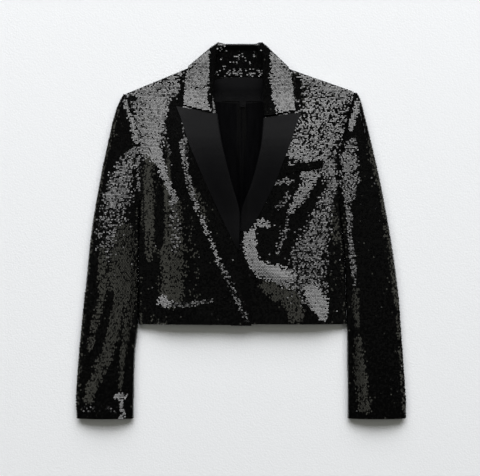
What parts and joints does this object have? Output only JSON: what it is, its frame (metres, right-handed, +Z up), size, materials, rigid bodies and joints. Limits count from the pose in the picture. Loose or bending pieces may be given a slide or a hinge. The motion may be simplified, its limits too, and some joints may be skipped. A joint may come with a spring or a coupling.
{
  "type": "sequin jacket laid flat",
  "caption": "Short fitted evening jacket in black sequinned cloth with satin peak lapels, closed and laid flat face up.",
  "frame": {"origin": "middle of the underside, on the surface that the jacket lies on", "axes": "+X to the wearer's left, +Y from hem to collar, +Z up from the surface"},
  "size_m": [0.607, 0.6924, 0.0434],
  "materials": {
    "sequins": "gloss",
    "satin": "satin",
    "lining": "satin",
    "tape": "matte"
  },
  "bodies": {
    "root": {"back": "sequins", "front_right": "sequins", "front_left": "sequins", "side_panel_right": "sequins", "side_panel_left": "sequins", "upper_sleeve_right": "sequins", "upper_sleeve_left": "sequins", "under_sleeve_right": "sequins", "under_sleeve_left": "sequins", "collar_fall": "sequins", "collar_stand": "sequins", "lapel_right": "satin", "lapel_left": "satin", "chest_welt": "sequins", "neck_facing": "satin", "back_lining": "lining", "label": "tape", "size_tab": "tape"}
  },
  "joints": []
}
